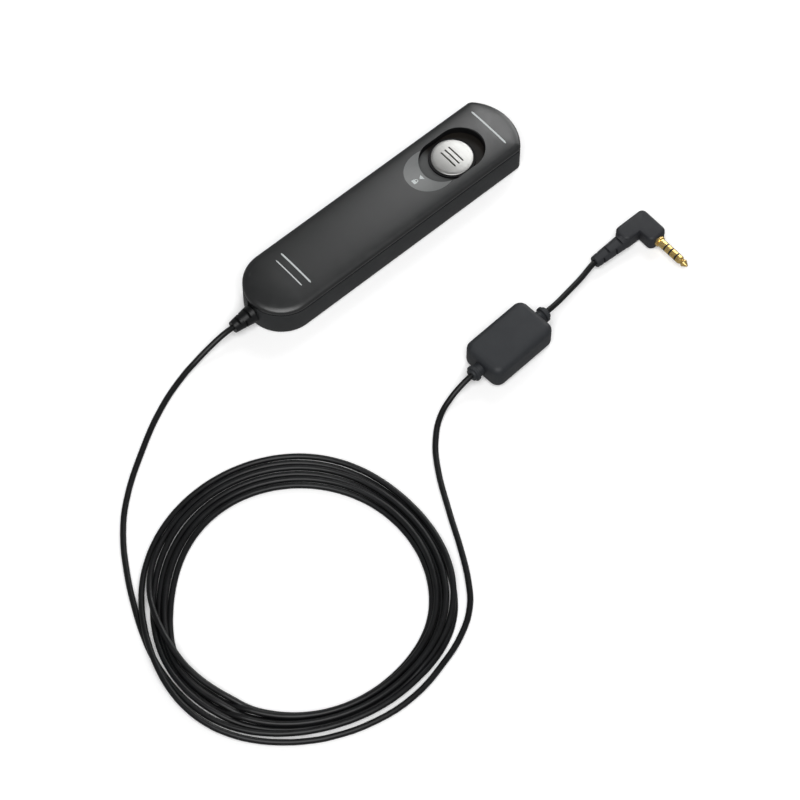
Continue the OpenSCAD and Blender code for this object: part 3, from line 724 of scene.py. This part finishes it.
def make_ferrite_cover():
    """Moulded block round the ferrite core, with a nib at each end for the cord."""
    length, width, corner, edge = 23 * MM, 14 * MM, 2.8 * MM, 2 * MM
    turn = math.radians(3)
    size = Vector((length, width, ferrite_high.z - ferrite_low.z))
    along = Vector((1, 0, 0))
    origin = Vector((0, 0, 0))
    cover = rounded_block("ferrite_block_cover", origin, size, corner, edge)
    half = size.x / 2
    nib = [(-1, 2), (1.55, 1.95), (1.7, 1.9), (1.75, 2.15), (1.9, 2.4), (2.7, 2.4), (2.85, 2.15), (2.9, 1.9),
           (3.4, 1.8), (3.5, 1.65)]
    for side in (-1, 1):
        profile = [(half + z * MM, r * MM) for z, r in nib]
        join(cover, turned("nib", profile, origin, side * along, 40))
    core_r = (core_high.z - core_low.z) / 2
    core_half = 8.5 * MM
    cut(cover, turned("core_room", [(-core_half, core_r), (core_half, core_r)], origin, along, 64))
    bore_r = CORD_R + 0.01 * MM
    bore_half = 20 * MM
    cut(cover, turned("bore", [(-bore_half, bore_r), (bore_half, bore_r)], origin, along, 32))
    place = Matrix.Translation(FERRITE_CENTRE) @ Matrix.Rotation(turn, 4, "Z")
    cover.data.transform(place)
    smooth_shade(cover)
    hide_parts("ferrite_cover")
    return cover


# ---------- plug ----------


def make_plug_mould():
    """Right-angle moulding: ribbed strain relief, leg and head, hollow for the plug's inner pieces."""
    leg_y = -49.8 * MM
    leg_w = 5.4 * MM
    leg_corner, head_corner, edge = 1.8 * MM, 1.7 * MM, MM
    relief_y = -50.6 * MM
    head_y = (plug_low.y, -47.1 * MM)
    relief = (plug_low.x, 48 * MM)
    height = 5.4 * MM
    leg_l = plug_high.x - relief[1] + MM
    along = Vector((1, 0, 0))
    axis = Vector((0, relief_y, PLUG_Z))
    leg_centre = (relief[1] - MM + leg_l / 2, leg_y, PLUG_Z)
    mould = rounded_block("plug_moulding", leg_centre, (leg_l, leg_w, height), leg_corner, edge)
    head_size = (plug_high.x * 2 - HEAD_X * 2, head_y[1] - head_y[0], height)
    head = rounded_block("head", (HEAD_X, sum(head_y) / 2, PLUG_Z), head_size, head_corner, edge)
    join(mould, head)
    length = relief[1] - relief[0]
    slope = [(0, 1.6), (0.15, 1.75), (1, 1.83), (length / MM - 0.5, 2.37), (length / MM + 0.5, 2.4)]
    join(mould, turned("relief", [(relief[0] + z * MM, r * MM) for z, r in slope], axis, along, 48))
    ribs = 5
    notch = 0.7 * MM
    notch_reach = 4 * MM
    for k in range(1, ribs):
        middle = relief[0] + k * length / ribs
        for side in (0, 1):
            depth = (1.15 + 0.1 * k) * MM
            low = Vector((middle - notch / 2, -notch_reach, depth))
            high = Vector((middle + notch / 2, notch_reach, notch_reach))
            corners = [(low.x, low.y), (high.x, low.y), (high.x, high.y), (low.x, high.y)]
            cutter = prism("notch", corners, low.z, high.z)
            turn = Matrix.Rotation(math.radians(side * 180 + (k % 2) * 90), 4, "X")
            cutter.data.transform(Matrix.Translation(axis) @ turn)
            cut(mould, cutter)
    bore_end = HEAD_X - 2 * MM
    cut(mould, turned("bore", [(relief[0] - MM, CORD_R), (bore_end, CORD_R)], axis, along, 32))
    corners = [(block_low.x, block_low.y), (block_high.x, block_low.y),
               (block_high.x, block_high.y), (block_low.x, block_high.y)]
    cut(mould, prism("inner_block", corners, block_low.z, block_high.z))
    pin_r = 1.25 * MM
    pin_hole = [(0, pin_r), (block_low.y - plug_low.y + MM, pin_r)]
    cut(mould, turned("pin_hole", pin_hole, (HEAD_X, plug_low.y - MM, PLUG_Z), (0, 1, 0), 48))
    smooth_shade(mould)
    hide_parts("plug_overmould")
    return mould


# ---------- materials ----------


def new_material(name):
    """Material with its node tree and its shader node."""
    material = bpy.data.materials.new(name)
    material.use_nodes = True
    tree = material.node_tree
    return material, tree, tree.nodes["Principled BSDF"]


def texture(tree, scale, stretch=(1, 1, 1), detail=4, roughness=0.55):
    """Noise in the piece's own coordinates, stretched along an axis if asked."""
    coordinates = tree.nodes.new("ShaderNodeTexCoord")
    mapping = tree.nodes.new("ShaderNodeMapping")
    mapping.inputs["Scale"].default_value = stretch
    noise = tree.nodes.new("ShaderNodeTexNoise")
    noise.inputs["Scale"].default_value = scale
    noise.inputs["Detail"].default_value = detail
    noise.inputs["Roughness"].default_value = roughness
    tree.links.new(coordinates.outputs["Object"], mapping.inputs["Vector"])
    tree.links.new(mapping.outputs["Vector"], noise.inputs["Vector"])
    return noise.outputs["Fac"]


def ranged(tree, value, low, high, from_low=0.3, from_high=0.7):
    """The value mapped from its usual spread to a new range."""
    node = tree.nodes.new("ShaderNodeMapRange")
    node.inputs["From Min"].default_value = from_low
    node.inputs["From Max"].default_value = from_high
    node.inputs["To Min"].default_value = low
    node.inputs["To Max"].default_value = high
    tree.links.new(value, node.inputs["Value"])
    return node.outputs["Result"]


def blended(tree, factor, colour_a, colour_b):
    """Colour between two, each a tuple or another colour output."""
    node = tree.nodes.new("ShaderNodeMix")
    node.data_type = "RGBA"
    tree.links.new(factor, node.inputs["Factor"])
    for socket, colour in ((node.inputs[6], colour_a), (node.inputs[7], colour_b)):
        if isinstance(colour, tuple):
            socket.default_value = (*colour, 1)
        else:
            tree.links.new(colour, socket)
    return node.outputs[2]


def bumped(tree, shader, height, distance, strength=1.0, under=None):
    """Bump on the shader from a height, over an earlier bump if one is given."""
    node = tree.nodes.new("ShaderNodeBump")
    node.inputs["Strength"].default_value = strength
    node.inputs["Distance"].default_value = distance
    tree.links.new(height, node.inputs["Height"])
    if under is not None:
        tree.links.new(under, node.inputs["Normal"])
    tree.links.new(node.outputs["Normal"], shader.inputs["Normal"])
    return node.outputs["Normal"]


def moulded(name, dark, light, roughness, grain=7000, depth=0.003, edge=None, specular=0.5):
    """Moulded plastic or rubber: cloudy tone, fine spark grain, faint handling marks, and a painted
    highlight along the edges.
    """
    material, tree, shader = new_material(name)
    cloud = ranged(tree, texture(tree, 160, detail=3), 0, 1)
    colour = blended(tree, cloud, dark, light)
    if edge:
        # Painted highlight: the edge colour is laid where the mesh is pointy, in place of light caught along
        # the edges.
        point = tree.nodes.new("ShaderNodeNewGeometry").outputs["Pointiness"]
        edge_highlight = ranged(tree, point, 0, 0.5, 0.52, 0.62)
        colour = blended(tree, edge_highlight, colour, edge)
    tree.links.new(colour, shader.inputs["Base Color"])
    smears = texture(tree, 500, detail=4)
    tree.links.new(ranged(tree, smears, roughness - 0.025, roughness + 0.03), shader.inputs["Roughness"])
    shader.inputs["Specular IOR Level"].default_value = specular
    spark = texture(tree, grain, detail=2)
    first = bumped(tree, shader, spark, depth * MM, 0.8)
    ripple = texture(tree, 300, detail=1)
    bumped(tree, shader, ripple, 0.004 * MM, 0.2, under=first)
    return material


def slider_finish_with_painted_light():
    """Dark moulded plate, painted a lighter grey at the end beside the scoop as painted light on that end.
    """
    painted_light_to, dark_from = CAP_X - 5.5 * MM, CAP_X - 3 * MM
    material, tree, shader = new_material("slider_finish_with_painted_light")
    coordinates = tree.nodes.new("ShaderNodeTexCoord")
    split = tree.nodes.new("ShaderNodeSeparateXYZ")
    tree.links.new(coordinates.outputs["Object"], split.inputs["Vector"])
    # Painted light: the plate turns lighter grey towards its end beside the scoop.
    painted_light = ranged(tree, split.outputs["X"], 1, 0, painted_light_to, dark_from)
    cloud = ranged(tree, texture(tree, 160, detail=3), 0, 1)
    dark = blended(tree, cloud, (0.006, 0.005, 0.004), (0.01, 0.008, 0.006))
    tree.links.new(blended(tree, painted_light, dark, (0.07, 0.072, 0.072)), shader.inputs["Base Color"])
    tree.links.new(ranged(tree, texture(tree, 500), 0.46, 0.56), shader.inputs["Roughness"])
    shader.inputs["Specular IOR Level"].default_value = 0.2
    bumped(tree, shader, texture(tree, 7000, detail=2), 0.003 * MM, 0.8)
    return material


def metal(name, dark, light, roughness, stretch=(1, 1, 1), scale=3000, depth=0.004, anisotropic=0.0):
    """Metal with fine finishing marks, which are long when the texture is stretched."""
    material, tree, shader = new_material(name)
    shader.inputs["Metallic"].default_value = 1
    shader.inputs["Anisotropic"].default_value = anisotropic
    marks = texture(tree, scale, stretch, detail=6, roughness=0.65)
    tone = texture(tree, 300, detail=3)
    tree.links.new(blended(tree, ranged(tree, tone, 0, 1), dark, light), shader.inputs["Base Color"])
    tree.links.new(ranged(tree, marks, roughness - 0.07, roughness + 0.1), shader.inputs["Roughness"])
    bumped(tree, shader, marks, depth * MM, 0.7)
    return material


def printed(name, colour, under):
    """Thin printed ink, a little uneven, with pinholes where the plastic shows."""
    material, tree, shader = new_material(name)
    holes = ranged(tree, texture(tree, 9000, detail=2), 1, 0, 0.3, 0.42)
    tree.links.new(blended(tree, holes, colour, under), shader.inputs["Base Color"])
    tone = texture(tree, 1500)
    tree.links.new(ranged(tree, tone, 0.45, 0.6), shader.inputs["Roughness"])
    bumped(tree, shader, texture(tree, 6000, detail=2), 0.01 * MM, 0.5)
    return material


def board_finish(name):
    """Green solder mask over glass cloth."""
    material, tree, shader = new_material(name)
    coordinates = tree.nodes.new("ShaderNodeTexCoord")
    weave = []
    for direction in ("X", "Y"):
        wave = tree.nodes.new("ShaderNodeTexWave")
        wave.bands_direction = direction
        wave.inputs["Scale"].default_value = 400
        wave.inputs["Distortion"].default_value = 0.4
        tree.links.new(coordinates.outputs["Object"], wave.inputs["Vector"])
        weave.append(wave.outputs["Fac"])
    cloth = tree.nodes.new("ShaderNodeMath")
    cloth.operation = "MULTIPLY"
    tree.links.new(weave[0], cloth.inputs[0])
    tree.links.new(weave[1], cloth.inputs[1])
    green = blended(tree, cloth.outputs[0], (0.012, 0.09, 0.035), (0.02, 0.14, 0.055))
    tree.links.new(green, shader.inputs["Base Color"])
    tree.links.new(ranged(tree, texture(tree, 1200), 0.22, 0.34), shader.inputs["Roughness"])
    bumped(tree, shader, cloth.outputs[0], 0.01 * MM, 0.4)
    return material


def make_materials():
    """Every finish by its slot's name."""
    charcoal = (0.005, 0.0058, 0.0062)
    # Each edge colour below is a painted highlight along the edges of that moulding.
    return {
        "shell_top": moulded("shell_top_finish", charcoal, (0.0075, 0.0083, 0.0087), 0.35,
                             edge=(0.024, 0.026, 0.027), specular=0.75),
        # The light grey of the scoop's floor is a painted sheen, in place of the light it reflects.
        "scoop": moulded("scoop_painted_sheen", (0.12, 0.125, 0.125), (0.14, 0.145, 0.143), 0.4),
        "shell_bottom": moulded("shell_bottom_finish", (0.011, 0.012, 0.013), (0.015, 0.016, 0.017), 0.5,
                                edge=(0.03, 0.032, 0.033), specular=0.4),
        # Real black plastic on the guide plate and plunger; on the opening's walls the same black is painted
        # shade.
        "black_plastic": moulded("black_plastic_and_painted_shade", (0.003, 0.003, 0.0035), (0.006, 0.006, 0.0065), 0.5,
                                 specular=0.15),
        "slider_plastic": slider_finish_with_painted_light(),
        "white_plastic": moulded("white_plastic_finish", (0.7, 0.7, 0.66), (0.8, 0.8, 0.77), 0.4),
        "cream_plastic": moulded("cream_plastic_finish", (0.62, 0.56, 0.42), (0.7, 0.65, 0.5), 0.45),
        "silver_cap": metal("silver_cap_finish", (0.36, 0.36, 0.35), (0.39, 0.39, 0.38), 0.34,
                            (1, 0.06, 1), 6000, 0.0003, 0.3),
        # Dark metal inside the engraved lines is painted shade in the grooves.
        "engraving": metal("engraving_painted_shade", (0.05, 0.046, 0.04), (0.08, 0.074, 0.065), 0.5),
        "steel": metal("steel_finish", (0.5, 0.5, 0.52), (0.62, 0.62, 0.63), 0.3),
        "black_steel": metal("black_steel_finish", (0.06, 0.06, 0.065), (0.09, 0.09, 0.095), 0.38),
        "bronze": metal("bronze_finish", (0.55, 0.33, 0.14), (0.66, 0.42, 0.2), 0.3, (0.1, 1, 1)),
        "board_green": board_finish("board_finish"),
        "resistor_black": moulded("resistor_finish", (0.008, 0.008, 0.009), (0.018, 0.018, 0.02), 0.3),
        "solder": metal("solder_finish", (0.5, 0.51, 0.53), (0.64, 0.65, 0.66), 0.24, scale=1500),
        "wire_red": moulded("wire_red_finish", (0.4, 0.015, 0.012), (0.5, 0.025, 0.02), 0.38),
        "wire_white": moulded("wire_white_finish", (0.7, 0.7, 0.66), (0.8, 0.8, 0.76), 0.38),
        "wire_yellow": moulded("wire_yellow_finish", (0.62, 0.4, 0.02), (0.72, 0.48, 0.03), 0.38),
        "wire_ground": metal("wire_ground_finish", (0.5, 0.24, 0.12), (0.62, 0.32, 0.17), 0.35, scale=5000),
        "cord_rubber": moulded("cord_finish", (0.003, 0.003, 0.0035), (0.006, 0.0065, 0.007), 0.34,
                               grain=9000, depth=0.006, specular=0.3),
        "ferrite": moulded("ferrite_finish", (0.05, 0.05, 0.055), (0.08, 0.08, 0.085), 0.6, grain=3000,
                           depth=0.03),
        "ferrite_cover": moulded("ferrite_cover_finish", (0.013, 0.015, 0.018), (0.017, 0.019, 0.022), 0.55,
                                 edge=(0.03, 0.032, 0.035), specular=0.4),
        "plug_black": moulded("plug_moulding_finish", (0.012, 0.013, 0.016), (0.016, 0.017, 0.02), 0.55,
                              edge=(0.028, 0.03, 0.033), specular=0.4),
        "insulator_black": moulded("insulator_finish", (0.004, 0.004, 0.004), (0.008, 0.008, 0.008), 0.35),
        "gold": metal("gold_finish", (0.78, 0.54, 0.18), (0.88, 0.64, 0.26), 0.26, scale=4000, depth=0.0004),
        "print_white": printed("print_finish", (0.5, 0.53, 0.53), charcoal),
    }


NODE_SLOTS = {
    "black_plastic": ["guide_plate", "button_plunger"],
    "steel": ["guide_screws", "clamp_screws", "cord_clamp", "return_spring"],
    "black_steel": ["housing_screws"],
    "white_plastic": ["plunger_foot", "plug_inner_block"],
    "slider_plastic": ["lock_slider"],
    "bronze": ["upper_leaf", "middle_leaf", "leaf_terminals", "lower_contact"],
    "cream_plastic": ["contact_block"],
    "board_green": ["circuit_board"],
    "resistor_black": ["resistors"],
    "solder": ["solder_joints"],
    "wire_red": ["wire_red"],
    "wire_white": ["wire_white"],
    "wire_yellow": ["wire_yellow"],
    "wire_ground": ["wire_ground"],
    "cord_rubber": ["strain_relief"],
    "ferrite": ["ferrite_core"],
    "insulator_black": ["plug_insulator"],
    "gold": ["plug_sleeve", "plug_ring_rear", "plug_ring_front", "plug_tip"],
}
FINISHES = make_materials()


def dress(obj, finish):
    """Gives the piece one finish in place of any it had."""
    obj.data.materials.clear()
    obj.data.materials.append(FINISHES[finish])


def dress_nodes():
    """Gives the CAD nodes that stay their finishes."""
    for finish, nodes in NODE_SLOTS.items():
        for node in nodes:
            dress(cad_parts[node], finish)


def dress_scoop(shell):
    """The floor of the scoop is painted light grey as a painted sheen, and the walls of the opening are
    painted black as painted shade.
    """
    shell.data.materials.append(FINISHES["scoop"])
    shell.data.materials.append(FINISHES["black_plastic"])
    on_sphere, on_wall, steep = 0.004 * MM, 0.05 * MM, 0.3
    centre = Vector((SCOOP_X, 0, SCOOP_Z))
    for face in shell.data.polygons:
        corners = [shell.data.vertices[i].co for i in face.vertices]
        # Painted sheen: faces on the scoop's sphere take the light grey.
        if all(abs((c - centre).length - SCOOP_R) < on_sphere for c in corners):
            face.material_index = 1
        # Painted shade: the upright walls of the opening take the black plastic, in place of the shade
        # inside the opening.
        along = min(max(face.center.x, OPENING_LEFT), OPENING_RIGHT)
        from_axis = math.hypot(face.center.x - along, face.center.y)
        upright_face = abs(face.normal.z) < steep and face.center.z < HANDLE_H
        if upright_face and abs(from_axis - OPENING_R) < on_wall:
            face.material_index = 2


def sharpen_borders(obj):
    """Edges between two finishes stay sharp."""
    finishes = {}
    for face in obj.data.polygons:
        for key in face.edge_keys:
            finishes.setdefault(key, set()).add(face.material_index)
    for edge in obj.data.edges:
        if len(finishes[edge.key]) > 1:
            edge.use_edge_sharp = True


def dress_lines(cap):
    """The engraved lines are painted dark inside, as painted shade in the grooves."""
    cap.data.materials.append(FINISHES["engraving"])
    for face in cap.data.polygons:
        along = abs(face.center.y) < LINE_HALF_L + 0.2 * MM
        across = abs(face.center.x - CAP_X) < LINE_PITCH + 0.5 * MM
        depth = cap_high.z - face.center.z
        if along and across and 0.1 * MM < depth < LINE_DEPTH + 0.05 * MM:
            face.material_index = 1


# ---------- floor and light ----------


def make_floor():
    """Plain white floor, lit a little from within, as a light table is."""
    half = 3
    glow = 0.12
    corners = [(-half, -half, 0), (half, -half, 0), (half, half, 0), (-half, half, 0)]
    mesh = bpy.data.meshes.new("floor")
    mesh.from_pydata(corners, [], [(0, 1, 2, 3)])
    floor = add_object("floor", mesh)
    floor.visible_glossy = False
    material, tree, shader = new_material("floor_finish")
    cloud = ranged(tree, texture(tree, 3, detail=2), 0, 1)
    white = blended(tree, cloud, (0.92, 0.92, 0.92), (0.94, 0.94, 0.94))
    tree.links.new(white, shader.inputs["Base Color"])
    shader.inputs["Roughness"].default_value = 0.9
    shader.inputs["Specular IOR Level"].default_value = 0.1
    shader.inputs["Emission Color"].default_value = (1, 1, 1, 1)
    shader.inputs["Emission Strength"].default_value = glow
    mesh.materials.append(material)


def area_light(name, aim, direction, distance, size, power):
    """Soft box that looks at a point from a direction."""
    data = bpy.data.lights.new(name, "AREA")
    data.shape = "DISK"
    data.size = size
    data.energy = power
    light = bpy.data.objects.new(name, data)
    direction = Vector(direction).normalized()
    light.location = Vector(aim) + distance * direction
    light.rotation_euler = (-direction).to_track_quat("-Z", "Y").to_euler()
    SCENE.collection.objects.link(light)


def make_world():
    """Dim white dome, darker overhead than at the horizon."""
    overhead, horizon_top, strength = 0.3, 0.1, 0.35
    world = bpy.data.worlds.new("studio")
    world.use_nodes = True
    SCENE.world = world
    tree = world.node_tree
    background = tree.nodes["Background"]
    coordinates = tree.nodes.new("ShaderNodeTexCoord")
    split = tree.nodes.new("ShaderNodeSeparateXYZ")
    ramp = tree.nodes.new("ShaderNodeValToRGB")
    ramp.color_ramp.elements[0].position = 0.0
    ramp.color_ramp.elements[0].color = (1, 1, 1, 1)
    ramp.color_ramp.elements[1].position = 1.0
    ramp.color_ramp.elements[1].color = (overhead, overhead, overhead, 1)
    horizon = ramp.color_ramp.elements.new(horizon_top)
    horizon.color = (1, 1, 1, 1)
    tree.links.new(coordinates.outputs["Generated"], split.inputs["Vector"])
    tree.links.new(split.outputs["Z"], ramp.inputs["Fac"])
    tree.links.new(ramp.outputs["Color"], background.inputs["Color"])
    background.inputs["Strength"].default_value = strength


def make_light():
    """Dome, one big box on the camera's side and two small ones beside the handle's nose."""
    make_world()
    SCENE.view_settings.view_transform = "Standard"
    nose = (38 * MM, 0, HANDLE_H)
    middle = (-0.04, -0.04, 0)
    area_light("soft_box", nose, (0.55, 0.43, 0.80), distance=0.47, size=0.2, power=0.5)
    area_light("front_box", middle, (-0.3, -0.35, 0.9), distance=1.5, size=1.5, power=23)
    area_light("side_box", nose, (0.9, 0.25, 0.35), distance=0.9, size=0.5, power=2.2)


# ---------- assembly ----------

top_shell = make_top_shell()
bottom_shell = make_bottom_shell()
button_cap = make_cap()
ferrite_cover = make_ferrite_cover()
plug_mould = make_plug_mould()
marks = make_marks()

dress_nodes()
dress(top_shell, "shell_top")
dress_scoop(top_shell)
sharpen_borders(top_shell)
dress(bottom_shell, "shell_bottom")
dress(button_cap, "silver_cap")
dress_lines(button_cap)
dress(ferrite_cover, "ferrite_cover")
dress(plug_mould, "plug_black")
dress(cord, "cord_rubber")
for mark in marks:
    dress(mark, "print_white")

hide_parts("cord_stub", "cord_lead", "cord_coil", "cord_tail", "cord_in_ferrite", "cord_plug_lead")
for piece in [top_shell, bottom_shell, ferrite_cover, plug_mould, cord] + marks:
    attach(piece, "root")
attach(button_cap, "button")

make_floor()
make_light()
